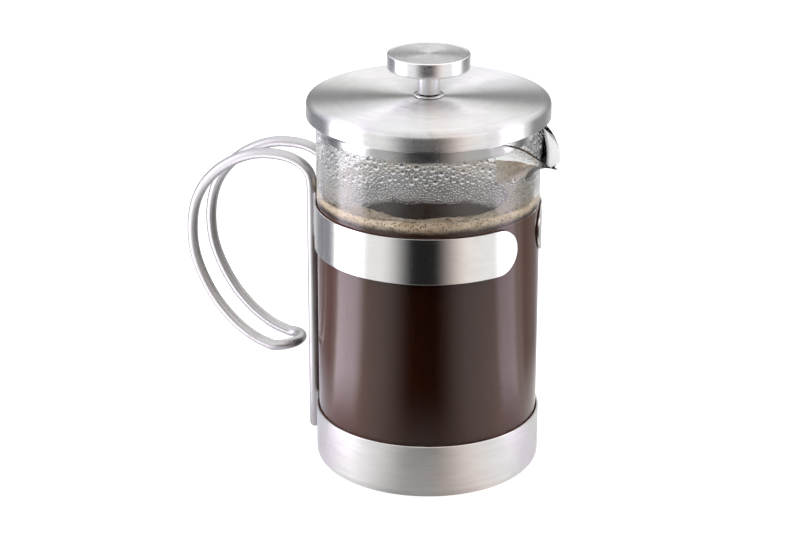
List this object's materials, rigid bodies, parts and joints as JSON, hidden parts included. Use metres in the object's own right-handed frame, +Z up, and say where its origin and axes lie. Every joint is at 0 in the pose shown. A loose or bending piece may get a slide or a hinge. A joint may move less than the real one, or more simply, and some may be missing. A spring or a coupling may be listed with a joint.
{
  "type": "french press",
  "caption": "French press: glass beaker with a spout in a steel frame with a hairpin rod handle, steel lid, and a sliding plunger with a filter stack.",
  "frame": {"origin": "centre of the underside of the base cup, on the pot's axis", "axes": "+Z up along the pot's axis and the plunger rod; the handle points to -X, the band's gap and the spout to +X, 5.5 degrees towards -Y; +Y to the left of someone looking from the handle to the spout"},
  "size_m": [0.1774, 0.1062, 0.1883],
  "materials": {
    "brushed_frame": "brushed round the cup",
    "satin_band": "fine satin, brushed round the band",
    "satin_rod": "satin rod",
    "clear_glass": "clear borosilicate glass",
    "spun_lid": "circular brushing",
    "liner_steel": "smooth drawn steel",
    "polished_steel": "polished",
    "turned_knob": "turned, circular brushing",
    "filter_steel": "pressed sheet",
    "spring_wire": "bright drawn wire",
    "woven_mesh": "fine woven wire cloth",
    "silicone": "frosted silicone"
  },
  "bodies": {
    "frame": {"base_cup": "brushed_frame", "base_pad": "silicone", "upper_band": "satin_band", "handle_rod": "satin_rod"},
    "glass": {"glass_beaker": "clear_glass"},
    "lid": {"lid_cover": "spun_lid", "lid_liner": "liner_steel", "rod_bushing": "polished_steel", "bushing_nut": "polished_steel"},
    "plunger": {"knob_disc": "turned_knob", "knob_neck": "turned_knob", "plunger_rod": "polished_steel", "stop_washer": "filter_steel", "spiral_plate": "filter_steel", "edge_spring": "spring_wire", "mesh_screen": "woven_mesh", "screen_rim": "filter_steel", "cross_plate": "filter_steel", "threaded_hub": "filter_steel"}
  },
  "joints": [
    {"name": "glass_lift", "type": "slide", "parent": "frame", "child": "glass", "axis": [0, 0, 1], "range_m": [0, 0.14]},
    {"name": "lid_lift", "type": "slide", "parent": "glass", "child": "lid", "axis": [0, 0, 1], "range_m": [0, 0.17]},
    {"name": "plunger_press", "type": "slide", "parent": "lid", "child": "plunger", "axis": [0, 0, 1], "range_m": [0, 0.126]}
  ]
}
